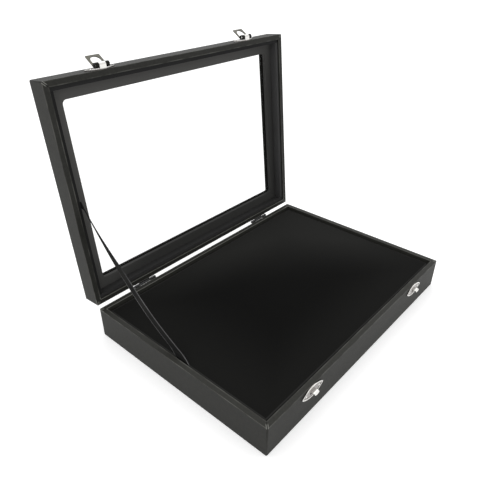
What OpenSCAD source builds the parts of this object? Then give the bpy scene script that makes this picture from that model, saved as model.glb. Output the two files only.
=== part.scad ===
// Badge display case: a wrapped board box with a padded base and a glazed, hinged lid.
// Millimetres. X runs left to right, Y front to back and Z up, from the centre of the underside.
// Lid pieces are drawn closed on the base and then swung open to the angle the ribbon stay allows.

/* [Case] */
// Outer width, left to right
case_w = 350; // [280:1:460]
// Outer depth, front to back
case_d = 245; // [190:1:330]
// Height of the base box
base_h = 37.5; // [31:0.5:60]
// Height of the lid frame
lid_h = 22.5; // [21:0.5:36]
// Air between the closed lid's rim and the base's rim
lid_gap = 0.4; // [0.3:0.1:0.8]
// Angle at which the stay holds the lid open
open_angle = 95.2; // [88:0.2:104]
// Outer radius of the upright corners
corner_r = 1.5; // [1:0.1:3]

/* [Boards and wrap] */
// Thickness of the wall boards
board_t = 5; // [4:0.5:8]
// Thickness of the leatherette wrap
wrap_t = 0.6; // [0.4:0.1:0.9]
// Thickness of the bottom board
bottom_t = 4; // [3:0.5:6]
// Thickness of the sheet glued under the base
underside_t = 0.8; // [0.5:0.1:1.5]
// Inset of the underside sheet from the outer faces
underside_inset = 3; // [2:0.5:8]
// Width of the wrap turned in under the base
turn_in = 14; // [10:1:25]

/* [Pad] */
// Depth of the pad's top below the base's rim
pad_drop = 3.5; // [2:0.5:8]
// Air between the pad and the walls
pad_gap = 1.8; // [1.4:0.1:3]
// Thickness of the card under the pad
pad_card_t = 1.5; // [1:0.1:3]
// Thickness of the velvet
velvet_t = 0.8; // [0.5:0.1:1.2]
// Radius of the pad's rounded top edge
pad_edge_r = 3; // [2:0.5:5]

/* [Window] */
// Width of the lid's face around the window
window_margin = 22; // [16:0.1:30]
// Corner radius of the window cut in the panel
window_r = 1.5; // [1:0.5:8]
// Corner radius of the window in the mat
mat_r = 4.5; // [2:0.5:8]
// Thickness of the top panel with its wrap
panel_t = 4; // [3.5:0.1:6]
// Thickness of the glass
glass_t = 2; // [1.5:0.1:3]
// Thickness of the window mat inside the glass
mat_t = 4.5; // [3:0.1:6]
// Width of the strips that hold the mat and glass
strip_w = 4; // [3:0.1:6]
// Depth of the strips' edge below the lid's rim
strip_drop = 2.2; // [1:0.1:4]
// Air between the glazing and the lid's walls
glazing_gap = 0.2; // [0.1:0.1:0.5]

/* [Hinges] */
// Distance of each hinge's middle from the case's side
hinge_inset = 67.5; // [30:0.5:95]
// Width of a hinge
hinge_w = 32; // [26:1:44]
// Height of a hinge leaf
leaf_h = 12; // [9:0.5:14]
// Thickness of the hinge's sheet metal
leaf_t = 0.6; // [0.5:0.1:0.7]
// Distance of the hinge axis behind the rear face
hinge_out = 2.6; // [2.6:0.1:3.6]
// Outer radius of the hinge barrel
barrel_r = 1.6; // [1.4:0.1:1.6]
// Radius of the hinge pin
hinge_pin_r = 0.8; // [0.7:0.1:0.9]
// Width of each of the base leaf's two knuckles
knuckle_w = 8; // [5:0.5:10]

/* [Clasps] */
// Distance of each clasp's middle from the case's side
clasp_inset = 67.5; // [30:0.5:95]
// Width of the almond clasp plate on the lid
clasp_plate_w = 36; // [33:0.5:40]
// Height of the clasp plate on the lid
clasp_plate_h = 13; // [12:0.5:15]
// Width of the almond catch plate on the base
catch_plate_w = 35; // [31:0.5:38]
// Height of the catch plate on the base
catch_plate_h = 14; // [13:0.5:16]
// Thickness of the plates
plate_t = 1.1; // [0.9:0.1:1.4]
// Width of the plates' raised border
border_w = 1.2; // [0.8:0.1:1.6]
// Depth of the plates' sunk field
field_d = 0.35; // [0.2:0.05:0.5]
// Height of the clasp plate's centre above the lid's rim
clasp_plate_up = 8; // [7.6:0.1:11]
// Height of the clasp pin above the lid's rim
clasp_pin_up = 3.9; // [3.6:0.1:5]
// Radius of the clasp pin
clasp_pin_r = 1.2; // [0.8:0.1:1.5]
// Outer radius of the clasp's knuckles
clasp_knuckle_r = 2.8; // [2.5:0.1:3]
// Width of the clasp plate's middle knuckle
clasp_knuckle_w = 7.6; // [6:0.2:8.4]
// Width of the loop
loop_w = 16.5; // [15.5:0.1:18]
// Length of the loop from its pin
loop_len = 16; // [15:0.5:18]
// Width of the loop's arms
loop_arm = 2.6; // [2:0.1:3]
// Width of the loop's tip at its middle
loop_tip = 2.2; // [1.6:0.1:2.8]
// Radius of the loop's outer corners
loop_r = 1.2; // [0.6:0.1:2]
// Thickness of the loop
loop_t = 0.9; // [0.7:0.1:1.2]
// Angle at which the loop stands back over the lid's front face
loop_angle = 38; // [10:1:80]
// Width of the catch's hook
hook_w = 7; // [5:0.2:7.6]
// Thickness of the catch's hook
hook_t = 0.9; // [0.7:0.1:1.1]
// Distance that the hook stands out from the base's front face
hook_out = 6; // [5.6:0.1:6.6]
// Height of the hook's lip below its shelf
lip_drop = 1.6; // [1.2:0.1:2]
// Outer radius of the bend between the hook's shelf and its lip
hook_bend_r = 1.5; // [1.2:0.1:1.8]

/* [Fasteners] */
// Distance between the two nails of a plate
nail_pitch = 21; // [18:0.5:22]
// Radius of a nail's shank
nail_r = 0.6; // [0.4:0.1:0.8]
// Radius of a nail's head
nail_head_r = 1.25; // [1:0.05:1.4]
// Height of a nail's head
nail_head_h = 0.6; // [0.4:0.1:0.9]
// Distance between the two screws of a hinge leaf
screw_pitch = 21; // [15:0.5:21]
// Radius of a screw's shank
screw_r = 1; // [0.8:0.1:1.2]
// Radius of a screw's head
screw_head_r = 2.1; // [1.8:0.1:2.4]
// Height of a screw's head
screw_head_h = 0.8; // [0.6:0.1:1]
// Board left beyond the points of the fasteners
fastener_end = 1; // [0.8:0.1:2]

/* [Stay ribbon] */
// Width of the ribbon
ribbon_w = 10; // [6:0.5:14]
// Thickness of the ribbon
ribbon_t = 0.5; // [0.3:0.1:0.7]
// Distance of the ribbon's two ends from the hinge axis
ribbon_reach = 130; // [110:1:150]
// Depth of the ribbon's end below the lid's rim
ribbon_in = 5.6; // [5:0.2:7]
// Length of the ribbon glued down inside the base
ribbon_tail = 12; // [8:1:18]
// Sag of the ribbon below a straight line
ribbon_sag = 7; // [4:1:18]
// Twist of the ribbon about its own length
ribbon_twist = 30; // [0:5:60]

/* [Clearances] */
// Gap between neighbouring knuckles
knuckle_gap = 0.3; // [0.2:0.05:0.5]
// Radial gap of a turning knuckle on its pin
running_gap = 0.06; // [0.03:0.01:0.1]
// Depth of a pin's end inside its barrel
pin_recess = 0.8; // [0.2:0.1:1.2]
// Gap between the swinging loop and the hook's lip
latch_gap = 0.4; // [0.3:0.05:0.6]
// Gap left in the mitres of the mat
mitre_gap = 0.1; // [0.05:0.05:0.3]
// Gap round the card inside the velvet
card_gap = 0.1; // [0.05:0.05:0.2]
// Gap around and beyond a fastener in its hole
fastener_gap = 0.05; // [0.02:0.01:0.1]
// Gap between the ribbon and the surface that it lies along
ribbon_gap = 0.3; // [0.2:0.05:0.4]

/* [Hidden] */
$fn = 64;
// Overshoot of a cut past the face that it opens
over = 1;
// Depth by which a tangent web is sunk into its barrel
sink = 0.05;
// Distance of a hinge leaf's edge from the hinge axis plane
leaf_edge = 0.5;
// Corner radius of a hinge leaf
leaf_r = 1.5;
// Length trimmed off each pointed end of an almond plate
tip_trim = 0.6;
// Height of the hook's shelf above the middle of the catch plate
shelf_up = 0.1;
// Distance beyond the hook's side where the lip's round edge meets the shelf
lip_side = 0.4;
// Room that the slot leaves beside the hook, and its height below the shelf
slot_side = 0.4;
slot_h = 3.2;
slot_top = 0.2;
// Depth of the ribbon's bend below the base's rim
tail_drop = 0.5;
ribbon_rings = 44;

half_d = case_d / 2;
wall_t = board_t + 2 * wrap_t;
inner_w = case_w - 2 * wall_t;
inner_d = case_d - 2 * wall_t;
wrapped_w = case_w - 2 * wrap_t;
wrapped_d = case_d - 2 * wrap_t;
wrapped_r = corner_r - wrap_t;
window_w = case_w - 2 * window_margin;
window_d = case_d - 2 * window_margin;

bottom_z = underside_t + wrap_t;
floor_z = bottom_z + bottom_t;
pad_top_z = base_h - pad_drop;
pad_w = inner_w - 2 * pad_gap;
pad_d = inner_d - 2 * pad_gap;

lid_z = base_h + lid_gap;
lid_top_z = lid_z + lid_h;
panel_z = lid_top_z - panel_t;
glass_z = panel_z - glass_t;
mat_z = glass_z - mat_t;
strip_z = lid_z + strip_drop;

hinge_x = case_w / 2 - hinge_inset;
hinge_y = half_d + hinge_out;
hinge_z = base_h + lid_gap / 2;
middle_knuckle_w = hinge_w - 2 * (knuckle_w + knuckle_gap);

clasp_x = case_w / 2 - clasp_inset;
clasp_pin_out = plate_t + knuckle_gap + clasp_knuckle_r;
clasp_pin_y = -half_d - clasp_pin_out;
clasp_pin_z = lid_z + clasp_pin_up;
clasp_plate_z = lid_z + clasp_plate_up;
loop_window_w = loop_w - 2 * loop_arm;
loop_inner = loop_len - loop_tip;
loop_back = clasp_knuckle_r - sink - loop_t;
hook_reach = norm([loop_inner, loop_back]) - latch_gap;
hook_past = hook_out - clasp_pin_out;
lip_z = clasp_pin_z - sqrt(hook_reach * hook_reach - hook_past * hook_past);
shelf_z = lip_z + lip_drop;
lip_half = hook_w / 2 + lip_side;
lip_r = (lip_half * lip_half + lip_drop * lip_drop) / (2 * lip_drop);
catch_z = shelf_z - shelf_up;

base_leaf_mid_z = hinge_z - leaf_edge - leaf_h / 2;
lid_leaf_mid_z = hinge_z + leaf_edge + leaf_h / 2;

// A point of the closed lid, given as [y, z], carried to the open lid.
function opened(p) = [
    hinge_y + (p[0] - hinge_y) * cos(open_angle) + (p[1] - hinge_z) * sin(open_angle),
    hinge_z - (p[0] - hinge_y) * sin(open_angle) + (p[1] - hinge_z) * cos(open_angle)
];
function smooth(t) = t <= 0 ? 0 : t >= 1 ? 1 : t * t * (3 - 2 * t);
function ramp(t, from, to) = smooth((t - from) / (to - from));

ribbon_start = [hinge_y - ribbon_reach, base_h - tail_drop];
ribbon_end = opened([hinge_y - ribbon_reach, lid_z + ribbon_in]);
ribbon_chord = norm(ribbon_end - ribbon_start);
ribbon_dir = (ribbon_end - ribbon_start) / ribbon_chord;
ribbon_side = [ribbon_dir[1], -ribbon_dir[0]];
ribbon_x0 = -inner_w / 2 + ribbon_gap + ribbon_t / 2;
ribbon_x1 = -inner_w / 2 + strip_w + ribbon_gap + ribbon_t / 2;
ribbon_t0 = -ribbon_tail / ribbon_chord;
function ribbon_drop(t) = 4 * ribbon_sag * (t < 0 ? t : t * (1 - t));
function ribbon_yz(t) = ribbon_start + ribbon_dir * ribbon_chord * t + ribbon_side * ribbon_drop(t);
function ribbon_x(t) = ribbon_x0 + (ribbon_x1 - ribbon_x0) * ramp(t, 0.08, 0.9);
function ribbon_turn(t) = -ribbon_twist * ramp(t, 0.5, 0.9) * (1 - ramp(t, 0.9, 0.97));
function ribbon_slope(t) = 4 * ribbon_sag * (t < 0 ? 1 : 1 - 2 * t) / ribbon_chord;
function ribbon_across(t) =
    let (v = ribbon_side - ribbon_dir * ribbon_slope(t))
    v / norm(v);
function ribbon_corner(t, u, v) =
    let (a = ribbon_turn(t), s = ribbon_across(t), p = ribbon_yz(t))
    let (wide = [-sin(a), s[0] * cos(a), s[1] * cos(a)])
    let (thick = [cos(a), s[0] * sin(a), s[1] * sin(a)])
    [ribbon_x(t), p[0], p[1]] + wide * u * ribbon_w / 2 + thick * v * ribbon_t / 2;

// A rectangle with rounded corners.
module rounded_rect(w, d, r) {
    square([w - 2 * r, d], center = true);
    square([w, d - 2 * r], center = true);
    for (x = [-1, 1], y = [-1, 1])
        translate([x * (w / 2 - r), y * (d / 2 - r)])
            circle(r);
}

module block(w, d, z0, z1) {
    translate([-w / 2, -d / 2, z0])
        cube([w, d, z1 - z0]);
}

module rounded_block(w, d, r, z0, z1) {
    translate([0, 0, z0])
        linear_extrude(z1 - z0)
            rounded_rect(w, d, r);
}

// Swings a piece of the closed lid open about the hinge axis.
module lid_open() {
    translate([0, hinge_y, hinge_z])
        rotate([-open_angle, 0, 0])
            translate([0, -hinge_y, -hinge_z])
                children();
}

// A front or rear board, the full width of the box inside the wrap.
module long_board(side, z0, z1) {
    intersection() {
        rounded_block(wrapped_w, wrapped_d, wrapped_r, z0, z1);
        translate([0, side * (wrapped_d - board_t) / 2, 0])
            block(wrapped_w, board_t, z0, z1);
    }
}

// A left or right board, butted between the long ones.
module short_board(side, z0, z1) {
    translate([side * (wrapped_w - board_t) / 2, 0, 0])
        block(board_t, wrapped_d - 2 * board_t, z0, z1);
}

// A straight hole that runs in from the front face, or from the rear face.
module face_hole(x, z, side, r, depth) {
    translate([x, side * (half_d + over), z])
        rotate([side * 90, 0, 0])
            cylinder(r = r, h = depth + over);
}

module fastener_holes(centre_x, z, side, pitch, r) {
    for (c = [-1, 1], k = [-1, 1])
        face_hole(c * centre_x + k * pitch / 2, z, side, r + fastener_gap,
            wrap_t + board_t - fastener_end + fastener_gap);
}

module base_front_holes() {
    fastener_holes(clasp_x, catch_z, -1, nail_pitch, nail_r);
}

module base_rear_holes() {
    fastener_holes(hinge_x, base_leaf_mid_z, 1, screw_pitch, screw_r);
}

module lid_front_holes() {
    fastener_holes(clasp_x, clasp_plate_z, -1, nail_pitch, nail_r);
}

module lid_rear_holes() {
    fastener_holes(hinge_x, lid_leaf_mid_z, 1, screw_pitch, screw_r);
}

// A domed head on a straight shank, with its seat at the origin and its point along -Z.
module fastener(r, head_r, head_h, length) {
    dome_r = (head_r * head_r + head_h * head_h) / (2 * head_h);
    intersection() {
        translate([0, 0, head_h - dome_r])
            sphere(dome_r);
        cylinder(r = head_r, h = head_h);
    }
    translate([0, 0, -length])
        cylinder(r = r, h = length + head_h / 2);
}

// The fasteners of two plates or leaves on one face; stand is their seats' height off the face.
module fastener_set(centre_x, z, side, pitch, r, head_r, head_h, stand) {
    for (c = [-1, 1], k = [-1, 1])
        translate([c * centre_x + k * pitch / 2, side * (half_d + stand), z])
            rotate([-side * 90, 0, 0])
                fastener(r, head_r, head_h, stand + wrap_t + board_t - fastener_end);
}

module base_bottom_board() {
    color("#6b5842")
        rounded_block(wrapped_w, wrapped_d, wrapped_r, bottom_z, floor_z);
}

module base_front_board() {
    color("#6b5842")
        difference() {
            long_board(-1, floor_z, base_h - wrap_t);
            base_front_holes();
        }
}

module base_rear_board() {
    color("#6b5842")
        difference() {
            long_board(1, floor_z, base_h - wrap_t);
            base_rear_holes();
        }
}

module base_left_board() {
    color("#6b5842")
        short_board(-1, floor_z, base_h - wrap_t);
}

module base_right_board() {
    color("#6b5842")
        short_board(1, floor_z, base_h - wrap_t);
}

// One skin: turned in underneath, up the outside, over the rim and down the inside.
module base_wrap() {
    color("#2f2e2d")
        difference() {
            rounded_block(case_w, case_d, corner_r, underside_t, base_h);
            difference() {
                rounded_block(wrapped_w, wrapped_d, wrapped_r, bottom_z, base_h - wrap_t);
                block(inner_w + 2 * wrap_t, inner_d + 2 * wrap_t, floor_z, base_h);
            }
            block(inner_w, inner_d, floor_z, base_h + over);
            block(case_w - 2 * turn_in, case_d - 2 * turn_in, underside_t - over, bottom_z + wrap_t);
            base_front_holes();
            base_rear_holes();
        }
}

module base_underside_sheet() {
    color("#1b1b1b")
        block(case_w - 2 * underside_inset, case_d - 2 * underside_inset, 0, underside_t);
}

// A slab with rounded upright corners and a rounded top edge.
module pad_slab(inset, z0, z1) {
    r = pad_edge_r - inset;
    hull()
        for (x = [-1, 1], y = [-1, 1])
            translate([x * (pad_w / 2 - pad_edge_r), y * (pad_d / 2 - pad_edge_r), 0]) {
                translate([0, 0, z1 - r])
                    sphere(r, $fn = 32);
                translate([0, 0, z0])
                    cylinder(r = r, h = z1 - r - z0, $fn = 32);
            }
}

module pad_card() {
    color("#8a7a62")
        rounded_block(pad_w - 2 * velvet_t - 2 * card_gap, pad_d - 2 * velvet_t - 2 * card_gap,
            pad_edge_r - velvet_t, floor_z, floor_z + pad_card_t);
}

module pad_foam() {
    color("#cfc9b8")
        pad_slab(velvet_t, floor_z + pad_card_t, pad_top_z - velvet_t);
}

// The cloth over the foam's top and sides and the card's edge.
module pad_velvet() {
    color("#121212")
        difference() {
            pad_slab(0, floor_z, pad_top_z);
            pad_slab(velvet_t, floor_z - over, pad_top_z - velvet_t);
        }
}

// A flat ribbon that hangs in a slack curve from the base's wall to the lid, turning as it goes.
module stay_ribbon() {
    ts = [for (i = [0:ribbon_rings]) ribbon_t0 + (1 - ribbon_t0) * i / ribbon_rings];
    pts = [for (t = ts) each [
        ribbon_corner(t, -1, -1), ribbon_corner(t, 1, -1),
        ribbon_corner(t, 1, 1), ribbon_corner(t, -1, 1)
    ]];
    sides = [for (i = [0:ribbon_rings - 1], k = [0:3])
        let (a = 4 * i + k, b = 4 * i + (k + 1) % 4)
        each [[a, b + 4, b], [a, a + 4, b + 4]]];
    last = 4 * ribbon_rings;
    ends = [[0, 1, 2], [0, 2, 3], [last, last + 2, last + 1], [last, last + 3, last + 2]];
    color("#161616")
        polyhedron(points = pts, faces = concat(sides, ends));
}

// A pointed oval, the overlap of two circles, with its points trimmed; inset follows the outline.
module almond(w, h, inset) {
    r = (w * w + h * h) / (4 * h);
    intersection() {
        translate([0, r - h / 2])
            circle(r - inset, $fn = 128);
        translate([0, h / 2 - r])
            circle(r - inset, $fn = 128);
        square([w - 2 * tip_trim - 2 * inset, h], center = true);
    }
}

// An almond plate with a sunk field inside a raised border, its back on the XY plane.
module almond_plate(w, h) {
    difference() {
        linear_extrude(plate_t)
            almond(w, h, 0);
        translate([0, 0, plate_t - field_d])
            linear_extrude(field_d + over)
                almond(w, h, border_w);
        for (k = [-1, 1])
            translate([k * nail_pitch / 2, 0, -over])
                cylinder(r = nail_r + fastener_gap, h = plate_t + 2 * over);
    }
}

module on_front(x, z) {
    translate([x, -half_d, z])
        rotate([90, 0, 0])
            children();
}

// The side view of the hook, as [distance out, height above the shelf's underside].
module hook_profile() {
    bend_in = hook_bend_r - hook_t;
    translate([plate_t / 2, 0])
        square([hook_out - hook_bend_r - plate_t / 2, hook_t]);
    translate([hook_out - hook_bend_r, hook_t - hook_bend_r])
        intersection() {
            difference() {
                circle(hook_bend_r);
                circle(bend_in);
            }
            square(hook_bend_r);
        }
    translate([hook_out - hook_t, -lip_drop])
        square([hook_t, lip_drop + hook_t - hook_bend_r]);
}

// The catch: an almond plate with a hook pressed out of it, a shelf that turns down to a round lip.
module catch_plate(x) {
    slot_w = hook_w + 2 * slot_side;
    on_front(x, catch_z)
        difference() {
            almond_plate(catch_plate_w, catch_plate_h);
            translate([-slot_w / 2, shelf_up - slot_top - slot_h, -over])
                cube([slot_w, slot_h, plate_t + 2 * over]);
        }
    translate([x, -half_d, shelf_z])
        intersection() {
            rotate([90, 0, -90])
                linear_extrude(hook_w, center = true)
                    hook_profile();
            translate([0, 0, lip_r - lip_drop])
                rotate([90, 0, 0])
                    cylinder(r = lip_r, h = hook_out + over);
        }
}

module catch_plate_left() {
    color("#c9c9cb")
        catch_plate(-clasp_x);
}

module catch_plate_right() {
    color("#c9c9cb")
        catch_plate(clasp_x);
}

module catch_nails() {
    color("#c9c9cb")
        fastener_set(clasp_x, catch_z, -1, nail_pitch, nail_r, nail_head_r, nail_head_h,
            plate_t - field_d);
}

// A knuckle of the given width about a cross axis.
module knuckle(x, w, r) {
    translate([x - w / 2, 0, 0])
        rotate([0, 90, 0])
            cylinder(r = r, h = w);
}

// A hinge leaf: a plate on the rear face and webs out to its own knuckles, given as [middle, width].
// side is -1 for the leaf below the axis and 1 for the leaf above it.
module hinge_leaf(x, side, knuckles, bore) {
    translate([x, hinge_y, hinge_z])
        difference() {
            union() {
                translate([0, leaf_t - hinge_out, side * (leaf_edge + leaf_h / 2)])
                    rotate([90, 0, 0])
                        linear_extrude(leaf_t)
                            rounded_rect(hinge_w, leaf_h, leaf_r);
                for (k = knuckles) {
                    knuckle(k[0], k[1], barrel_r);
                    translate([k[0], -hinge_out / 2, side * (barrel_r - sink - leaf_t / 2)])
                        cube([k[1], hinge_out, leaf_t], center = true);
                }
            }
            knuckle(0, hinge_w + 2 * over, bore);
            for (k = [-1, 1])
                translate([k * screw_pitch / 2, over - hinge_out, side * (leaf_edge + leaf_h / 2)])
                    rotate([90, 0, 0])
                        cylinder(r = screw_r + fastener_gap, h = 2 * over, center = true);
        }
}

module hinge_base_leaf(x) {
    out = (hinge_w - knuckle_w) / 2;
    hinge_leaf(x, -1, [[-out, knuckle_w], [out, knuckle_w]], hinge_pin_r);
}

module hinge_lid_leaf(x) {
    hinge_leaf(x, 1, [[0, middle_knuckle_w]], hinge_pin_r + running_gap);
}

module hinge_pin(x) {
    translate([x, hinge_y, hinge_z])
        knuckle(0, hinge_w - 2 * pin_recess, hinge_pin_r);
}

module hinge_base_leaf_left() {
    color("#3a3a3c")
        hinge_base_leaf(-hinge_x);
}

module hinge_base_leaf_right() {
    color("#3a3a3c")
        hinge_base_leaf(hinge_x);
}

module hinge_pin_left() {
    color("#3a3a3c")
        hinge_pin(-hinge_x);
}

module hinge_pin_right() {
    color("#3a3a3c")
        hinge_pin(hinge_x);
}

module hinge_base_screws() {
    color("#3a3a3c")
        fastener_set(hinge_x, base_leaf_mid_z, 1, screw_pitch, screw_r, screw_head_r,
            screw_head_h, leaf_t);
}

module lid_front_board() {
    color("#6b5842")
        lid_open()
            difference() {
                long_board(-1, lid_z + wrap_t, panel_z);
                lid_front_holes();
            }
}

module lid_rear_board() {
    color("#6b5842")
        lid_open()
            difference() {
                long_board(1, lid_z + wrap_t, panel_z);
                lid_rear_holes();
            }
}

module lid_left_board() {
    color("#6b5842")
        lid_open()
            short_board(-1, lid_z + wrap_t, panel_z);
}

module lid_right_board() {
    color("#6b5842")
        lid_open()
            short_board(1, lid_z + wrap_t, panel_z);
}

// The board over the lid's walls, with the window cut through it.
module lid_window_panel() {
    color("#6b5842")
        lid_open()
            difference() {
                rounded_block(wrapped_w, wrapped_d, wrapped_r, panel_z, lid_top_z - wrap_t);
                rounded_block(window_w + 2 * wrap_t, window_d + 2 * wrap_t, window_r + wrap_t,
                    panel_z - over, lid_top_z + over);
            }
}

// One skin: down the walls' inside, over the rim, up the outside, across the face and into the window.
module lid_wrap() {
    color("#2f2e2d")
        lid_open()
            difference() {
                rounded_block(case_w, case_d, corner_r, lid_z, lid_top_z);
                difference() {
                    rounded_block(wrapped_w, wrapped_d, wrapped_r, lid_z + wrap_t,
                        lid_top_z - wrap_t);
                    block(inner_w + 2 * wrap_t, inner_d + 2 * wrap_t, lid_z, panel_z);
                    rounded_block(window_w + 2 * wrap_t, window_d + 2 * wrap_t,
                        window_r + wrap_t, panel_z, lid_top_z);
                }
                block(inner_w, inner_d, lid_z - over, panel_z);
                rounded_block(window_w, window_d, window_r, panel_z - over, lid_top_z + over);
                lid_front_holes();
                lid_rear_holes();
            }
}

module glass_pane() {
    color([0.85, 0.92, 0.92, 0.25])
        lid_open()
            block(inner_w - 2 * glazing_gap, inner_d - 2 * glazing_gap, glass_z, panel_z);
}

// A block whose plan is one side of a mitred frame that is w long on that side and d deep.
module mitre_wedge(w, d, turn, side) {
    reach = window_margin + mat_r;
    translate([0, 0, mat_z - over])
        rotate([0, 0, turn])
            linear_extrude(mat_t + 2 * over)
                polygon([
                    [-w / 2 - over, side * (d / 2 + over)],
                    [w / 2 + over, side * (d / 2 + over)],
                    [w / 2 - reach, side * (d / 2 - reach)],
                    [reach - w / 2, side * (d / 2 - reach)]
                ]);
}

// The mat: four strips mitred at the corners, with a round cut where they meet the window.
module window_mat() {
    mat_w = inner_w - 2 * glazing_gap;
    mat_d = inner_d - 2 * glazing_gap;
    color("#333231")
        lid_open()
            for (turn = [0, 90])
                for (side = [-1, 1])
                    difference() {
                        intersection() {
                            block(mat_w, mat_d, mat_z, glass_z);
                            mitre_wedge(turn == 0 ? mat_w - 2 * mitre_gap : mat_d,
                                turn == 0 ? mat_d : mat_w, turn, side);
                        }
                        rounded_block(window_w, window_d, mat_r, mat_z - over, glass_z + over);
                    }
}

module long_strip(side) {
    translate([0, side * (inner_d - strip_w) / 2, 0])
        block(inner_w, strip_w, strip_z, mat_z);
}

module short_strip(side) {
    translate([side * (inner_w - strip_w) / 2, 0, 0])
        block(strip_w, inner_d - 2 * strip_w, strip_z, mat_z);
}

module strip_front() {
    color("#1d1d1d")
        lid_open()
            long_strip(-1);
}

module strip_rear() {
    color("#1d1d1d")
        lid_open()
            long_strip(1);
}

module strip_left() {
    color("#1d1d1d")
        lid_open()
            short_strip(-1);
}

module strip_right() {
    color("#1d1d1d")
        lid_open()
            short_strip(1);
}

module hinge_lid_leaf_left() {
    color("#3a3a3c")
        lid_open()
            hinge_lid_leaf(-hinge_x);
}

module hinge_lid_leaf_right() {
    color("#3a3a3c")
        lid_open()
            hinge_lid_leaf(hinge_x);
}

module hinge_lid_screws() {
    color("#3a3a3c")
        lid_open()
            fastener_set(hinge_x, lid_leaf_mid_z, 1, screw_pitch, screw_r, screw_head_r,
                screw_head_h, leaf_t);
}

// The clasp plate: an almond whose lower edge runs out in a strap and rolls up into a knuckle.
module clasp_plate(x) {
    difference() {
        union() {
            on_front(x, clasp_plate_z)
                almond_plate(clasp_plate_w, clasp_plate_h);
            translate([x, clasp_pin_y, clasp_pin_z]) {
                knuckle(0, clasp_knuckle_w, clasp_knuckle_r);
                translate([-clasp_knuckle_w / 2, 0, sink - clasp_knuckle_r])
                    cube([clasp_knuckle_w, clasp_pin_out, plate_t]);
            }
        }
        translate([x, clasp_pin_y, clasp_pin_z])
            knuckle(0, clasp_knuckle_w + 2 * over, clasp_pin_r);
    }
}

module clasp_plate_left() {
    color("#c9c9cb")
        lid_open()
            clasp_plate(-clasp_x);
}

module clasp_plate_right() {
    color("#c9c9cb")
        lid_open()
            clasp_plate(clasp_x);
}

module clasp_pin(x) {
    translate([x, clasp_pin_y, clasp_pin_z])
        knuckle(0, loop_w - 2 * pin_recess, clasp_pin_r);
}

module clasp_pin_left() {
    color("#c9c9cb")
        lid_open()
            clasp_pin(-clasp_x);
}

module clasp_pin_right() {
    color("#c9c9cb")
        lid_open()
            clasp_pin(clasp_x);
}

module clasp_nails() {
    color("#c9c9cb")
        lid_open()
            fastener_set(clasp_x, clasp_plate_z, -1, nail_pitch, nail_r, nail_head_r,
                nail_head_h, plate_t - field_d);
}

// The flat outline of the loop: square corners outside and an arch inside.
module loop_outline() {
    difference() {
        union() {
            translate([-loop_w / 2, 0])
                square([loop_w, loop_len - loop_r]);
            translate([0, loop_len / 2])
                rounded_rect(loop_w, loop_len, loop_r);
        }
        translate([-loop_window_w / 2, -over])
            square([loop_window_w, loop_inner - loop_window_w / 2 + over]);
        translate([0, loop_inner - loop_window_w / 2])
            circle(loop_window_w / 2);
    }
}

// The loop: a bail whose two feet are rolled round the clasp pin, so that it leaves them at a tangent.
module clasp_loop(x) {
    foot_in = clasp_knuckle_w / 2 + knuckle_gap;
    foot_w = loop_w / 2 - foot_in;
    translate([x, clasp_pin_y, clasp_pin_z])
        rotate([loop_angle, 0, 0])
            difference() {
                union() {
                    translate([0, loop_back + loop_t, 0])
                        rotate([90, 0, 0])
                            linear_extrude(loop_t)
                                loop_outline();
                    for (k = [-1, 1])
                        knuckle(k * (foot_in + foot_w / 2), foot_w, clasp_knuckle_r);
                }
                knuckle(0, loop_w + 2 * over, clasp_pin_r + running_gap);
            }
}

module clasp_loop_left() {
    color("#d4d4d6")
        lid_open()
            clasp_loop(-clasp_x);
}

module clasp_loop_right() {
    color("#d4d4d6")
        lid_open()
            clasp_loop(clasp_x);
}

base_bottom_board();
base_front_board();
base_rear_board();
base_left_board();
base_right_board();
base_wrap();
base_underside_sheet();
pad_card();
pad_foam();
pad_velvet();
stay_ribbon();
catch_plate_left();
catch_plate_right();
catch_nails();
hinge_base_leaf_left();
hinge_base_leaf_right();
hinge_pin_left();
hinge_pin_right();
hinge_base_screws();
lid_front_board();
lid_rear_board();
lid_left_board();
lid_right_board();
lid_window_panel();
lid_wrap();
glass_pane();
window_mat();
strip_front();
strip_rear();
strip_left();
strip_right();
hinge_lid_leaf_left();
hinge_lid_leaf_right();
hinge_lid_screws();
clasp_plate_left();
clasp_plate_right();
clasp_pin_left();
clasp_pin_right();
clasp_nails();
clasp_loop_left();
clasp_loop_right();
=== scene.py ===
# %% [markdown]
# # A badge display case
# The case is a shallow board box wrapped in dark leatherette. Its base holds a black velvet pad, its
# lid is a glazed window, and small nickel clasps close the front. The solid parts come from the CAD
# model, already in place. This lesson dresses them: it makes the soft pieces, gives every surface its
# finish, and sets the light and the camera.

import math

import bmesh
import bpy
from mathutils import Matrix, Vector


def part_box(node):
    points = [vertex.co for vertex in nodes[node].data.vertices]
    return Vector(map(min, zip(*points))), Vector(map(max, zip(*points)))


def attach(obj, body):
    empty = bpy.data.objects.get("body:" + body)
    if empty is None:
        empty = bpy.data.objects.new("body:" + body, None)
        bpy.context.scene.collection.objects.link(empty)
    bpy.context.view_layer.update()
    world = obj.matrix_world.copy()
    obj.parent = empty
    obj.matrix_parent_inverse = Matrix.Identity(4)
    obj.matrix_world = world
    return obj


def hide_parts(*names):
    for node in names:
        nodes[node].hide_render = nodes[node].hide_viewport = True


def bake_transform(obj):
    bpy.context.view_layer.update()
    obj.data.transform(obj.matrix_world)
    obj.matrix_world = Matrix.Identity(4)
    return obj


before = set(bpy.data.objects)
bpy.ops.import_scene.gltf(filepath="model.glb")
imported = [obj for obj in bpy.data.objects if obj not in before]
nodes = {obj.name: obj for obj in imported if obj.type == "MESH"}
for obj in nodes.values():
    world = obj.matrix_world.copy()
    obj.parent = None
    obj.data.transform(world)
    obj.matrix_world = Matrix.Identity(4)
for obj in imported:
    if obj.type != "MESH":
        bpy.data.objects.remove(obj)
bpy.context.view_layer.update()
scene = bpy.context.scene
MM = 0.001
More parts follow.
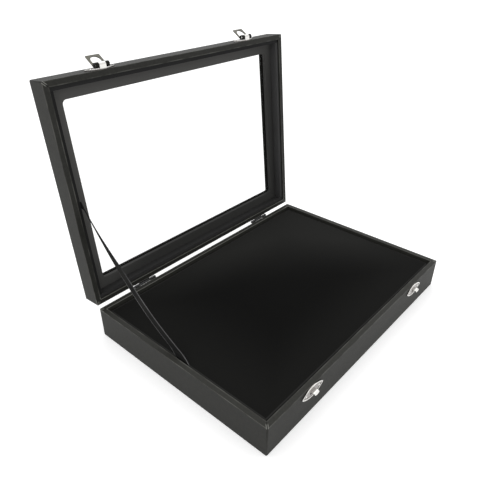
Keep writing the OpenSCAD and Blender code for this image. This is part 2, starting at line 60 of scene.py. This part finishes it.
print("pieces in the frame:", len(nodes))

# %% [markdown]
# ## Adding objects
# In Blender an object is a place in the scene, and its data (a mesh, a camera, a light) is what stands
# there. Both have to be made, and the object has to be linked to a collection before it can be seen.
# That happens several times in this lesson, so a small function does it.

# %% Add an object
def add_object(name, data):
    """Makes an object from its data and links it to the scene."""
    made = bpy.data.objects.new(name, data)
    scene.collection.objects.link(made)
    return made


def dress(piece, finish):
    """Gives a piece one finish all over."""
    piece.data.materials.clear()
    piece.data.materials.append(finish.material)


def new_piece(name, shape, finish):
    """Makes a piece from a bmesh, with smooth shading and one finish."""
    data = bpy.data.meshes.new(name)
    for face in shape.faces:
        face.smooth = True
    shape.to_mesh(data)
    shape.free()
    piece = add_object(name, data)
    dress(piece, finish)
    return piece


print("object helpers ready")

# %% [markdown]
# ## The camera
# The photograph looks down over the left front corner. A camera can be placed by eye and nudged until
# the edges line up, or solved from the corners of the box. Here the solved place, view direction and
# right-hand direction are written down, and the three axes are put together as a matrix. The
# right-hand direction is squared up first, because a rounded one isn't quite at right angles.

# %% Camera
CAMERA_PLACE = Vector((-0.39853, -0.29172, 0.39656))
CAMERA_DIR = Vector((0.63902, 0.55645, -0.53105))
CAMERA_RIGHT = Vector((0.65907, -0.75207, 0.00504))
view_dir = CAMERA_DIR.normalized()
view_right = (CAMERA_RIGHT - view_dir * CAMERA_RIGHT.dot(view_dir)).normalized()
view_up = view_right.cross(view_dir)
camera_data = bpy.data.cameras.new("photo_camera")
camera_data.sensor_width = 36
camera_data.lens = 37.42
camera_data.shift_x = -0.013
camera_data.shift_y = 0.0162
camera_data.clip_start = 10 * MM
camera = add_object("photo_camera", camera_data)
camera_turn = Matrix((view_right, view_up, -view_dir)).transposed().to_4x4()
camera.matrix_world = Matrix.Translation(CAMERA_PLACE) @ camera_turn
scene.camera = camera
print("camera lens:", camera_data.lens, "mm")

# %% [markdown]
# ## Shader maths
# Long chains of Math nodes are hard to read, so one small class wraps a socket and lets Python's own
# operators add the Math nodes.

# %% A value in a shader
class Value:
    """One output socket, which can be added, multiplied and so on."""

    def __init__(self, tree, socket):
        self.tree = tree
        self.socket = socket

    def math(self, operation, *others):
        step = self.tree.nodes.new("ShaderNodeMath")
        step.operation = operation
        for place, item in enumerate((self, *others)):
            if isinstance(item, Value):
                self.tree.links.new(item.socket, step.inputs[place])
            else:
                step.inputs[place].default_value = item
        return Value(self.tree, step.outputs[0])

    def constant(self, number):
        step = self.tree.nodes.new("ShaderNodeValue")
        step.outputs[0].default_value = number
        return Value(self.tree, step.outputs[0])

    def __add__(self, other):
        return self.math("ADD", other)

    def __sub__(self, other):
        return self.math("SUBTRACT", other)

    def __mul__(self, other):
        return self.math("MULTIPLY", other)

    def __truediv__(self, other):
        return self.math("DIVIDE", other)

    def __rsub__(self, other):
        return self.constant(other).math("SUBTRACT", self)

    __radd__ = __add__
    __rmul__ = __mul__

    def __abs__(self):
        return self.math("ABSOLUTE")


print("shader values ready")

# %% [markdown]
# ## Finishes
# Each finish is one material with one Principled shader. Its constants are given by name, and a value
# that varies over the surface is fed in afterwards. The Mix node keeps its colour sockets after those
# for numbers and vectors, so they are found by their place in its list.

# %% A finish
MIX_FIRST = 6
MIX_SECOND = 7
MIX_RESULT = 2


class Finish:
    """A material with one Principled shader, and a short way to add nodes to it."""

    def __init__(self, name, **constants):
        self.material = bpy.data.materials.new(name)
        self.material.use_nodes = True
        self.tree = self.material.node_tree
        self.shader = self.tree.nodes["Principled BSDF"]
        for socket, number in constants.items():
            self.shader.inputs[socket.replace("_", " ")].default_value = number

    def node(self, kind, settings=None, sockets=None, out=0):
        step = self.tree.nodes.new(kind)
        for key, setting in (settings or {}).items():
            setattr(step, key, setting)
        for socket, item in (sockets or {}).items():
            if isinstance(item, Value):
                self.tree.links.new(item.socket, step.inputs[socket])
            else:
                step.inputs[socket].default_value = item
        return Value(self.tree, step.outputs[out])

    def feed(self, socket, value):
        self.tree.links.new(value.socket, self.shader.inputs[socket])

    def place(self):
        return self.node("ShaderNodeTexCoord", out="Object")

    def split(self, where):
        parts = self.tree.nodes.new("ShaderNodeSeparateXYZ")
        self.tree.links.new(where.socket, parts.inputs[0])
        return [Value(self.tree, socket) for socket in parts.outputs]

    def ramp(self, value, low, high):
        """0 at low and 1 at high, with a smooth rise between them."""
        sockets = {"Value": value, "From Min": low, "From Max": high}
        return self.node("ShaderNodeMapRange", {"interpolation_type": "SMOOTHSTEP"}, sockets)

    def near(self, value, width):
        """1 where a value is close to 0, falling to 0 at that width."""
        return 1 - self.ramp(abs(value), width * 0.3, width)

    def noise(self, where, scale, detail=2.0, roughness=0.5):
        sockets = {"Vector": where, "Scale": scale, "Detail": detail, "Roughness": roughness}
        return self.node("ShaderNodeTexNoise", None, sockets)

    def blend(self, factor, first, second):
        """The first colour where the factor is 0 and the second where it is 1."""
        first, second = (end if isinstance(end, Value) else (*end, 1) for end in (first, second))
        sockets = {"Factor": factor, MIX_FIRST: first, MIX_SECOND: second}
        return self.node("ShaderNodeMix", {"data_type": "RGBA"}, sockets, out=MIX_RESULT)

    def bump(self, height, strength, distance):
        sockets = {"Height": height, "Strength": strength, "Distance": distance}
        self.feed("Normal", self.node("ShaderNodeBump", None, sockets))


print("finish class ready")

# %% [markdown]
# ## One measure for base and lid
# The lid was modelled shut and then swung open. A pattern that follows its edges is easiest to write
# for the shut case, so a Mapping node turns the lid's coordinates back about the hinge. The base needs
# no turning.

# %% Places on the shut case
CASE_X = 175 * MM
CASE_Y = 122.5 * MM
WALL = 5.6 * MM
RIM = {"base": 37.5 * MM, "lid": 37.9 * MM}
HINGE = Vector((0, 125.1, 37.7)) * MM
OPEN = math.radians(95.2)


def closed_place(finish, body):
    """The place on a piece as if the lid were shut."""
    where = finish.place()
    if body == "base":
        return where
    shift = HINGE - Matrix.Rotation(OPEN, 3, "X") @ HINGE
    sockets = {"Vector": where, "Rotation": (OPEN, 0, 0), "Location": shift}
    return finish.node("ShaderNodeMapping", None, sockets)


print("the lid stands open by", round(math.degrees(OPEN), 1), "degrees")

# %% [markdown]
# ## Leatherette
# The wrap is a thin embossed plastic skin on paper. Close up it has rounded pebbles about two thirds of
# a millimetre across, with fine valleys between them. Cells of a Voronoi texture give the pebbles and a
# little noise breaks their pattern. They move the surface's bump and gloss, and a little of its colour.
# At each corner of a rim the skin is folded in a mitre, which shows as a fine diagonal crease with a
# pleat beside it. The pleat is painted paler, as wear and as a painted highlight where the fold would
# catch the light, and the rim edges are painted paler in the same way. The crease can be a cut in the
# mesh, or a line where the distances to the two sides are equal; the line is used here, because the
# skin itself isn't cut there.

# %% Parts of the leatherette
def valleys(finish, where):
    """Low on the top of a pebble and high in the valleys between pebbles."""
    sockets = {"Vector": where, "Scale": 1500.0}
    cells = finish.node("ShaderNodeTexVoronoi", {"feature": "SMOOTH_F1"}, sockets)
    return cells * 0.7 + finish.noise(where, scale=3200.0) * 0.3


def worn_and_highlit_edges(finish, where, y, from_wall, above_rim):
    """The two edges of a rim painted paler: worn in patches, and a painted highlight more evenly along
    the rear.
    """
    edges = finish.near(from_wall, 0.8 * MM) + finish.near(from_wall - WALL, 0.7 * MM)
    rear = finish.ramp(y, CASE_Y - 10 * MM, CASE_Y - 7 * MM)
    patches = finish.ramp(finish.noise(where, scale=60.0, detail=4.0), 0.35, 0.7)
    return edges * finish.near(above_rim, 0.8 * MM) * (patches * 0.35).math("MAXIMUM", rear * 0.8)


def corner_pleat_wear_and_highlights(finish, from_wall, off_mitre):
    """A short fold on each side of a mitre, at the outer corner only, painted paler as wear and a painted
    highlight.
    """
    at_corner = 1 - finish.ramp(from_wall, 2.5 * MM, 4 * MM)
    return finish.near(abs(off_mitre) - 1.2 * MM, 0.8 * MM) * at_corner


print("leatherette parts ready")

# %% Leatherette finish
def leatherette(name, body, painted_light_lift, dark, pale, wear_and_highlight_colour):
    """The whole skin; the lift argument paints the rim and the inside of the wall paler, as painted
    light.
    """
    finish = Finish(name, Specular_IOR_Level=0.15)
    where = closed_place(finish, body)
    x, y, z = finish.split(where)
    from_side = CASE_X - abs(x)
    from_end = CASE_Y - abs(y)
    from_wall = from_side.math("MINIMUM", from_end)
    off_mitre = from_side - from_end
    above_rim = z - RIM[body]
    on_rim = finish.near(above_rim, 1.2 * MM)
    valley = valleys(finish, where)
    grain = finish.noise(where, scale=380.0, detail=3.0, roughness=0.7)
    crease = finish.near(off_mitre, 0.6 * MM) * on_rim
    # pleats painted paler: wear and a painted highlight on the folds
    pleat_wear_and_highlight = corner_pleat_wear_and_highlights(finish, from_wall, off_mitre) * on_rim
    # rim edges painted paler: wear in patches and a painted highlight, most evenly along the rear
    edges = worn_and_highlit_edges(finish, where, y, from_wall, above_rim)
    wear_and_highlight = (edges * (1 - crease)).math("MAXIMUM", pleat_wear_and_highlight)
    in_window = finish.ramp(from_wall, 17 * MM, 20 * MM)
    inside = finish.ramp(from_wall, WALL - 0.4 * MM, WALL - 0.1 * MM)
    # painted light: the rim and the inside of the wall are made paler
    painted_lift = on_rim.math("MAXIMUM", inside * 4) * painted_light_lift
    tone = (grain * 0.7 + valley * 0.4) * (1 - in_window) + painted_lift - crease * 0.9
    finish.feed("Base Color", finish.blend(wear_and_highlight, finish.blend(tone, dark, pale), wear_and_highlight_colour))
    finish.feed("Roughness", 0.45 + valley * 0.2 - wear_and_highlight * 0.15 + in_window * 0.35)
    finish.bump(1 - valley - crease * 4, strength=0.5, distance=0.12 * MM)
    return finish


# dark, pale, and the paler colour for worn edges and painted highlights
LEATHERETTE = ((0.004, 0.004, 0.0033), (0.030, 0.030, 0.026), (0.17, 0.17, 0.155))
base_wrap_finish = leatherette("base_leatherette", "base", 0.3, *LEATHERETTE)
lid_wrap_finish = leatherette("lid_leatherette", "lid", 0.0, *LEATHERETTE)
print("leatherette:", base_wrap_finish.material.name, lid_wrap_finish.material.name)

# %% [markdown]
# ## Soft edges on the wrap
# Card and board edges under a glued skin are never knife sharp, and the small round at each edge draws
# the thin light line that makes a wrapped box look wrapped. The CAD wrap arrives as loose triangles, so
# a Weld modifier joins them before a Bevel modifier rounds every edge sharper than forty degrees. The
# window panel under the lid's skin takes the same finish, and isn't rounded.

# %% Round the wrapped edges
def soften(piece):
    """Joins a piece's triangles and rounds its sharp edges."""
    weld = piece.modifiers.new("weld", "WELD")
    weld.merge_threshold = 0.01 * MM
    edge = piece.modifiers.new("soft_edges", "BEVEL")
    edge.width = 0.5 * MM
    edge.segments = 3
    edge.limit_method = "ANGLE"
    edge.angle_limit = math.radians(40)
    edge.harden_normals = True


for name, finish in (("base_wrap", base_wrap_finish), ("lid_wrap", lid_wrap_finish)):
    dress(nodes[name], finish)
    soften(nodes[name])
dress(nodes["lid_window_panel"], lid_wrap_finish)
print("rounded:", [name for name in nodes if nodes[name].modifiers])

# %% [markdown]
# ## The window mat
# The mat round the glass is covered in a brushed suede paper. Its sides at the top left are painted
# paler than those at the bottom right, as painted light from one side. Two colours blended along that
# diagonal show it; a sheen shader would need light from one side only to do the same.

# %% Mat finish
def suede(name, dark, pale):
    """Brushed nap, with painted light that is palest at the front left of the shut lid."""
    finish = Finish(name, Roughness=0.85, Specular_IOR_Level=0.15)
    where = closed_place(finish, "lid")
    x, y = finish.split(where)[:2]
    brushed = finish.noise(where, scale=900.0, detail=4.0, roughness=0.7)
    # painted light: paler at the top left, darker at the bottom right
    painted_side_light = 1 - finish.ramp(x / CASE_X + y / CASE_Y, -0.5, 0.5)
    finish.feed("Base Color", finish.blend(painted_side_light * 0.8 + brushed * 0.2, dark, pale))
    finish.bump(brushed, strength=0.3, distance=0.1 * MM)
    return finish


mat_finish = suede("window_mat_suede", (0.027, 0.027, 0.026), (0.075, 0.074, 0.071))
dress(nodes["window_mat"], mat_finish)
print("mat:", mat_finish.material.name)

# %% [markdown]
# ## The velvet pad
# The pad is a card with foam on it, drawn tight in velvet that is turned under and glued. Its top is
# slightly crowned, because the foam is thickest where nothing pulls it down, and its edges are round.
# A cloth simulation could blow up such a pad, but this one is taut, so a box with bevelled edges whose
# top is lifted by a smooth curve gives the same form with clean, even faces. Velvet looks darkest
# where we look into its pile and paler where the pile bends over an edge; the colour paints this as a
# painted sheen, darkest in the middle and paler at the right rear, and a painted highlight on the edge.
# The finished box has the same points and faces on each run but may number them differently, so they
# are numbered again by place.

# %% Velvet finish
pad_low, pad_high = (Vector(corner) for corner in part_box("pad_velvet"))
PAD_MID = (pad_low + pad_high) / 2
PAD_HALF = (pad_high - pad_low) / 2


def velvet(name, dark, pale, edge_highlight_colour):
    """Black pile with painted sheen: darkest in the middle, paler at the right rear, and a painted
    highlight where it bends over the edge.
    """
    finish = Finish(
        name, Roughness=0.9, Specular_IOR_Level=0.04, Sheen_Weight=0.02, Sheen_Roughness=0.4
    )
    where = finish.place()
    x, y = finish.split(where)[:2]
    pile = finish.noise(where, scale=1800.0, detail=3.0, roughness=0.7)
    outward = abs(x / CASE_X).math("MAXIMUM", abs(y / CASE_Y))
    painted_side_light = finish.ramp(x / CASE_X + y / CASE_Y, 0.0, 1.2)
    # painted sheen: paler towards the edges and at the right rear
    tone = pile * 0.4 + finish.ramp(outward, 0.3, 1.0) * 0.35 + painted_side_light * 0.65
    from_side = PAD_HALF.x - abs(x - PAD_MID.x)
    from_edge = from_side.math("MINIMUM", PAD_HALF.y - abs(y - PAD_MID.y))
    # painted highlight where the pile bends over the edge
    edge_highlight = finish.near(from_edge - 1.4 * MM, 1.2 * MM)
    finish.feed("Base Color", finish.blend(edge_highlight, finish.blend(tone, dark, pale), edge_highlight_colour))
    finish.bump(pile, strength=0.4, distance=0.2 * MM)
    return finish


# dark, pale, and the painted highlight on the pad's edge
VELVET = ((0.001, 0.001, 0.001), (0.017, 0.017, 0.016), (0.03, 0.03, 0.029))
velvet_finish = velvet("black_velvet", *VELVET)
print("velvet:", velvet_finish.material.name)

# %% The pad's form
def number_by_place(elements, place):
    """Numbers a mesh's points or faces by where they are."""
    ordered = sorted(elements, key=lambda element: [round(c / MM, 3) for c in place(element)])
    rank = {element: number for number, element in enumerate(ordered)}
    elements.sort(key=rank.get)


PAD_ROUND = 2.0 * MM
PAD_CROWN = 0.3 * MM
PAD_CUTS = 4
FACE_UP = 0.9
BROAD_FACE = 20 * MM * MM
pad_shape = bmesh.new()
bmesh.ops.create_cube(pad_shape, size=2.0)
bmesh.ops.scale(pad_shape, vec=PAD_HALF, verts=pad_shape.verts)
bmesh.ops.translate(pad_shape, vec=PAD_MID, verts=pad_shape.verts)
top_edges = [edge for edge in pad_shape.edges if any(v.co.z > PAD_MID.z for v in edge.verts)]
bmesh.ops.bevel(
    pad_shape, geom=top_edges, offset=PAD_ROUND, segments=6, profile=0.5, affect="EDGES", material=-1
)
bmesh.ops.subdivide_edges(pad_shape, edges=pad_shape.edges[:], cuts=1, use_grid_fill=True)
for cut in range(PAD_CUTS):
    tops = [face for face in pad_shape.faces if face.normal.z > FACE_UP]
    edges = [edge for face in tops if face.calc_area() > BROAD_FACE for edge in face.edges]
    each_once = list(dict.fromkeys(edges))
    bmesh.ops.subdivide_edges(pad_shape, edges=each_once, cuts=1, use_grid_fill=True)
for v in pad_shape.verts:
    if v.co.z > PAD_MID.z:
        across = [min(1.0, abs(v.co[k] - PAD_MID[k]) / PAD_HALF[k]) for k in (0, 1)]
        v.co.z += PAD_CROWN * (1 - across[0] ** 4) * (1 - across[1] ** 4)
number_by_place(pad_shape.verts, lambda v: v.co)
number_by_place(pad_shape.faces, lambda face: face.calc_center_median())
pad = new_piece("velvet_pad", pad_shape, velvet_finish)
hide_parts("pad_velvet", "pad_foam")
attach(pad, "base")
print("pad:", len(pad.data.polygons), "faces")

# %% [markdown]
# ## The ribbon's weave
# A woven ribbon stops the lid from falling back. It is woven with a firmer cord along each edge, the
# selvedge, whose catch of the light is a painted highlight: a paler colour. The ribbon's UV map runs
# across and along the weave, so the selvedges are the two ends of one coordinate. The painted highlight
# fades out along the upper half, which turns away from the light.

# %% Ribbon finish
def ribbon_weave(name, dark, pale, highlight_dark, highlight_pale):
    """Fine ribs and fuzz between two selvedges with a painted highlight."""
    finish = Finish(name, Roughness=0.9, Specular_IOR_Level=0.05)
    across, along = finish.split(finish.node("ShaderNodeTexCoord", out="UV"))[:2]
    waves = {"Vector": finish.place(), "Scale": 300.0, "Distortion": 0.6}
    ribs = finish.node("ShaderNodeTexWave", None, waves)
    fuzz = finish.noise(finish.place(), scale=2400.0, detail=3.0)
    # painted highlight on the selvedges, fading out along the upper half
    selvedge_cord_and_highlight = finish.ramp(abs(across - 0.5), 0.40, 0.44) * (1 - finish.ramp(along, 0.45, 0.65))
    tone = ribs * 0.5 + fuzz * 0.5
    plain = finish.blend(tone, dark, pale)
    highlit = finish.blend(tone, highlight_dark, highlight_pale)
    finish.feed("Base Color", finish.blend(selvedge_cord_and_highlight, plain, highlit))
    finish.bump(ribs * 0.6 + selvedge_cord_and_highlight, strength=0.4, distance=0.15 * MM)
    return finish


RIBBON_DARK = ((0.010, 0.010, 0.010), (0.020, 0.020, 0.019))
SELVEDGE_HIGHLIGHT = ((0.08, 0.08, 0.08), (0.16, 0.16, 0.16))
ribbon_finish = ribbon_weave("black_ribbon", *RIBBON_DARK, *SELVEDGE_HIGHLIGHT)
print("ribbon:", ribbon_finish.material.name)

# %% [markdown]
# ## The ribbon's curve
# The lower end is glued between the base's wall and the pad, and the upper end lies on the strip inside
# the lid. Between them the ribbon sags in a parabola. It leans inwards as it comes over the edge of the
# pad, along a level line as real ribbon would, and bows a little further in higher up, where it turns
# towards its edge. The lean and the bow also keep it clear of the strip when the lid comes down. A
# curve object could carry the ribbon, but a function of two numbers gives every point on it directly.

# %% Points on the ribbon
RIBBON_W = 10 * MM
RIBBON_TAIL = 12 * MM
RIBBON_SAG = 10.5 * MM
RIBBON_BOW = 1.7 * MM
RIBBON_TWIST = math.radians(21)
RIBBON_START = Vector((0, -2.5, 37.0)) * MM
RIBBON_END = Vector((0, 141.85, 160.69)) * MM
RIBBON_WALL_X = -168.25 * MM
RIBBON_STRIP_X = -164.3 * MM
RIBBON_LEAN_Z = (29.0 * MM, 42.0 * MM)
TWIST_ON = (0.5, 0.9)
TWIST_OFF = (0.955, 0.995)
BOW_ON = (0.2, 0.6)
BOW_OFF = (0.95, 1.0)
chord = RIBBON_END - RIBBON_START
chord_dir = chord.normalized()
sag_dir = Vector((0, chord_dir.z, -chord_dir.y))
RIBBON_T0 = -RIBBON_TAIL / chord.length


def rise(t, low, high):
    """0 below low and 1 above high, with a smooth rise between them."""
    s = min(1.0, max(0.0, (t - low) / (high - low)))
    return s * s * (3 - 2 * s)


def swell(t, on, off):
    """Rises from 0 to 1 over the first range and falls back to 0 over the second."""
    return rise(t, *on) * (1 - rise(t, *off))


def ribbon_point(t, across):
    """A point on the ribbon: t is 0 at the base's rim and 1 at the lid, across runs from -0.5 to 0.5."""
    on_tail = t < 0
    drop = 4 * RIBBON_SAG * (t if on_tail else t * (1 - t))
    slope = 4 * RIBBON_SAG * (1 if on_tail else 1 - 2 * t) / chord.length
    turn = -RIBBON_TWIST * swell(t, TWIST_ON, TWIST_OFF)
    flat = (sag_dir - chord_dir * slope).normalized()
    wide = flat * math.cos(turn) - Vector((1, 0, 0)) * math.sin(turn)
    point = RIBBON_START + chord * t + sag_dir * drop + wide * RIBBON_W * across
    lean = rise(point.z, *RIBBON_LEAN_Z) * (RIBBON_STRIP_X - RIBBON_WALL_X)
    point.x += RIBBON_WALL_X + lean + RIBBON_BOW * swell(t, BOW_ON, BOW_OFF)
    return point


def from_tail(share):
    """Turns a share of the whole ribbon, tail and all, into t."""
    return RIBBON_T0 + (1 - RIBBON_T0) * share


print("ribbon ends:", [round(v / MM, 1) for v in (*ribbon_point(0, 0), *ribbon_point(1, 0))], "mm")

# %% [markdown]
# ## The ribbon's form
# One grid is laid along the curve, so its UV map follows the weave, and a Solidify modifier gives it
# thickness. The flat length is measured along the middle.

# %% Ribbon
RIBBON_HELD = 0.035
LENGTH_STEPS = 200
ribbon_shape = bmesh.new()
ribbon_shape.loops.layers.uv.new("weave")
bmesh.ops.create_grid(ribbon_shape, x_segments=8, y_segments=110, size=0.5, calc_uvs=True)
for v in ribbon_shape.verts:
    v.co = ribbon_point(from_tail(v.co.y + 0.5), v.co.x)
ribbon = new_piece("ribbon_stay", ribbon_shape, ribbon_finish)
ribbon_body = ribbon.modifiers.new("thickness", "SOLIDIFY")
ribbon_body.thickness = 0.4 * MM
ribbon_body.offset = 0
middle = [ribbon_point(from_tail(k / LENGTH_STEPS), 0) for k in range(LENGTH_STEPS + 1)]
flat_length = sum((after - before).length for before, after in zip(middle, middle[1:]))
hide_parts("stay_ribbon")
ribbon_point(RIBBON_HELD, 0)
ribbon_point(1.0, 0)
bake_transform(ribbon)
print("ribbon length:", round(flat_length / MM, 1), "mm")

# %% [markdown]
# ## Strips and underside
# Thin cloth-covered strips hold the glass and its mat in the lid, and a sheet of black cloth paper
# closes the underside. Both are matt and nearly black, so a fine noise for the threads is enough. In
# the photograph each strip catches a different amount of light. Lamps on each side could do that, but
# the light here is even, so each strip has its own tone instead.

# %% Cloth on the strips and the underside
def cloth(name, dark, pale, scale):
    """Matt cloth: fine threads over broad, faint patches."""
    finish = Finish(name, Roughness=0.9, Specular_IOR_Level=0.04)
    where = finish.place()
    threads = finish.noise(where, scale, detail=3.0, roughness=0.7)
    patches = finish.noise(where, scale=22.0)
    finish.feed("Base Color", finish.blend(threads * 0.6 + patches * 0.4, dark, pale))
    finish.bump(threads, strength=0.4, distance=0.2 * MM)
    return finish


STRIP_GREYS = (0.022, 0.040)
# painted light: each strip's greys are scaled by its own light level
STRIP_PAINTED_LIGHT = {"left": 0.5, "front": 0.7, "rear": 1.0, "right": 1.7}
under_finish = cloth("underside_cloth", (0.010, 0.010, 0.010), (0.018, 0.018, 0.018), scale=900.0)
dress(nodes["base_underside_sheet"], under_finish)
for side, tone in STRIP_PAINTED_LIGHT.items():
    dark, pale = ((grey * tone,) * 3 for grey in STRIP_GREYS)
    dress(nodes["strip_" + side], cloth("strip_cloth_" + side, dark, pale, scale=1500.0))
print("strips:", ", ".join(STRIP_PAINTED_LIGHT))

# %% [markdown]
# ## Nickel plates
# The clasp and catch plates are stamped from thin sheet and nickel plated. The sunk field is painted
# darker than the raised border, as painted shade and a painted dark reflection. The height of the
# surface in front of the wall tells the two apart; painting them by hand would have to be done again
# for every plate.

# %% Nickel finish
def nickel(name, body, shaded_field, raised):
    """Bright where a plate stands highest, with painted shade and dark reflection in its sunk field."""
    finish = Finish(name, Metallic=1.0)
    where = closed_place(finish, body)
    y = finish.split(where)[1]
    wear = finish.noise(where, scale=420.0, detail=4.0)
    height = finish.ramp(0 - y - CASE_Y, 0.8 * MM, 1.05 * MM)
    # painted shade and dark reflection in the sunk field
    finish.feed("Base Color", finish.blend(height * 0.9 + wear * 0.1, shaded_field, raised))
    finish.feed("Roughness", 0.16 + wear * 0.12)
    return finish


SHADED_FIELD = (0.28, 0.26, 0.25)
base_nickel = nickel("base_nickel", "base", SHADED_FIELD, (0.86, 0.85, 0.82))
lid_nickel = nickel("lid_nickel", "lid", SHADED_FIELD, (0.80, 0.79, 0.76))
print("nickel:", base_nickel.material.name, lid_nickel.material.name)

# %% [markdown]
# ## Loops and hinges
# The swinging loops are painted darker than the plates, as a painted dark reflection, and nearly black
# where they are rolled round the pin, as painted shade, so their colour follows the distance from the
# pin. The hinges are lacquered black. The names of the CAD pieces say which finish each one takes, so
# one loop dresses them all.

# %% Loop and hinge finishes
CLASP_PIN_Y = -126.7 * MM
CLASP_PIN_Z = 41.8 * MM


def loop_metal(name, rolled_shade, flat):
    """Nickel plate kept dark as a painted dark reflection, and nearly black as painted shade where it is
    rolled round the pin.
    """
    finish = Finish(name, Metallic=1.0, Roughness=0.25)
    y, z = finish.split(closed_place(finish, "lid"))[1:]
    behind = y - CLASP_PIN_Y
    above = z - CLASP_PIN_Z
    from_pin = (behind * behind + above * above).math("SQRT")
    # painted shade near the pin; the flat colour is a painted dark reflection
    finish.feed("Base Color", finish.blend(finish.ramp(from_pin, 2.8 * MM, 3.6 * MM), rolled_shade, flat))
    return finish


def lacquer(name, dark, pale):
    """Black lacquer on steel, a little worn."""
    finish = Finish(name, Metallic=0.3)
    wear = finish.noise(finish.place(), scale=260.0, detail=4.0)
    finish.feed("Base Color", finish.blend(wear, dark, pale))
    finish.feed("Roughness", 0.3 + wear * 0.08)
    return finish


loop_nickel = loop_metal("loop_nickel", (0.015, 0.015, 0.013), (0.11, 0.108, 0.092))
lacquer_finish = lacquer("black_lacquer", (0.012, 0.012, 0.013), (0.03, 0.03, 0.03))
fittings = [name for name in nodes if any(word in name for word in ("catch", "clasp", "hinge"))]
for name in fittings:
    if "catch" in name:
        dress(nodes[name], base_nickel)
    elif "hinge" in name:
        dress(nodes[name], lacquer_finish)
    else:
        dress(nodes[name], loop_nickel if "loop" in name else lid_nickel)
print("metal fittings:", len(fittings))

# %% [markdown]
# ## Glass
# A thin pane of clear glass hardly changes what is behind it. A shader that bends light needs many
# rays and darkens what lies under the pane, so this one is mostly see-through. Few rays stop at such a
# pane, and if those few are bright they leave speckle over the dark pad, so it reflects nothing itself.

# %% Glass finish
GLASS_TINT = (0.03, 0.034, 0.033, 1)
glass_finish = Finish(
    "clear_glass", Roughness=0.05, Specular_IOR_Level=0.0, Alpha=0.04, Base_Color=GLASS_TINT
)
dress(nodes["glass_pane"], glass_finish)
print("glass:", glass_finish.material.name)

# %% [markdown]
# ## Board and card
# The walls are fibreboard and the pad is built on grey card. They lie under the skin and the velvet,
# but a part that is taken to pieces shows them, so they get a plain fibrous finish.

# %% Board and card finishes
def raw(name, dark, pale, scale):
    """Bare fibres, with no coating."""
    finish = Finish(name, Roughness=0.85)
    fibre = finish.noise(finish.place(), scale, detail=4.0)
    finish.feed("Base Color", finish.blend(fibre, dark, pale))
    return finish


board_finish = raw("fibreboard", (0.20, 0.14, 0.09), (0.32, 0.24, 0.16), scale=700.0)
card_finish = raw("grey_card", (0.26, 0.22, 0.17), (0.36, 0.31, 0.24), scale=900.0)
boards = [name for name in nodes if name.endswith("_board")]
for name in boards:
    dress(nodes[name], board_finish)
dress(nodes["pad_card"], card_finish)
print("boards:", len(boards))

# %% [markdown]
# ## The floor
# The photograph was taken on white, with hardly any shadow left under the case. A floor that only
# reflects would show a grey shadow, and one that only glows would show none. This one does some of
# each, so a faint shadow stays.

# %% Floor
FLOOR_HALF = 6.0
floor_shape = bmesh.new()
bmesh.ops.create_grid(floor_shape, x_segments=1, y_segments=1, size=FLOOR_HALF)
floor_data = bpy.data.meshes.new("floor")
floor_shape.to_mesh(floor_data)
floor_shape.free()
floor = add_object("floor", floor_data)
floor_finish = Finish(
    "white_floor",
    Roughness=1.0,
    Specular_IOR_Level=0.0,
    Base_Color=(0.8, 0.8, 0.8, 1),
    Emission_Color=(1, 1, 1, 1),
    Emission_Strength=0.45,
)
dress(floor, floor_finish)
print("floor:", 2 * FLOOR_HALF, "m wide")

# %% [markdown]
# ## A white room
# The background has to look pure white, while the light that it throws on the case is a little weaker.
# A Light Path node tells the two apart: what the camera sees directly, through glass or in a mirror is
# full white, and everything else is the light of the room. Standard colours keep white at white.

# %% White room
ROOM_LIGHT = 0.9
world = bpy.data.worlds.new("white_room")
scene.world = world
world.use_nodes = True
room = world.node_tree
backdrop = room.nodes["Background"]
backdrop.inputs["Color"].default_value = (1, 1, 1, 1)
rays = room.nodes.new("ShaderNodeLightPath").outputs
direct, through, mirrored = (
    Value(room, rays[kind]) for kind in ("Is Camera Ray", "Is Transmission Ray", "Is Glossy Ray")
)
seen = direct.math("MAXIMUM", through).math("MAXIMUM", mirrored)
strength = seen * (1 - ROOM_LIGHT) + ROOM_LIGHT
room.links.new(strength.socket, backdrop.inputs["Strength"])
scene.view_settings.view_transform = "Standard"
print("room light:", ROOM_LIGHT)

# %% [markdown]
# ## Daylight
# Even light from all round leaves a box flat, so a weak sun adds a direction. A real sun is half a
# degree wide and throws hard shadows. This one is spread over seventy degrees, like a large window.

# %% Daylight
sun_data = bpy.data.lights.new("soft_daylight", "SUN")
sun_data.energy = 0.7
sun_data.angle = math.radians(70)
sun = add_object("soft_daylight", sun_data)
sun.rotation_euler = (math.radians(-28), math.radians(22), 0)
print("daylight:", sun_data.energy)
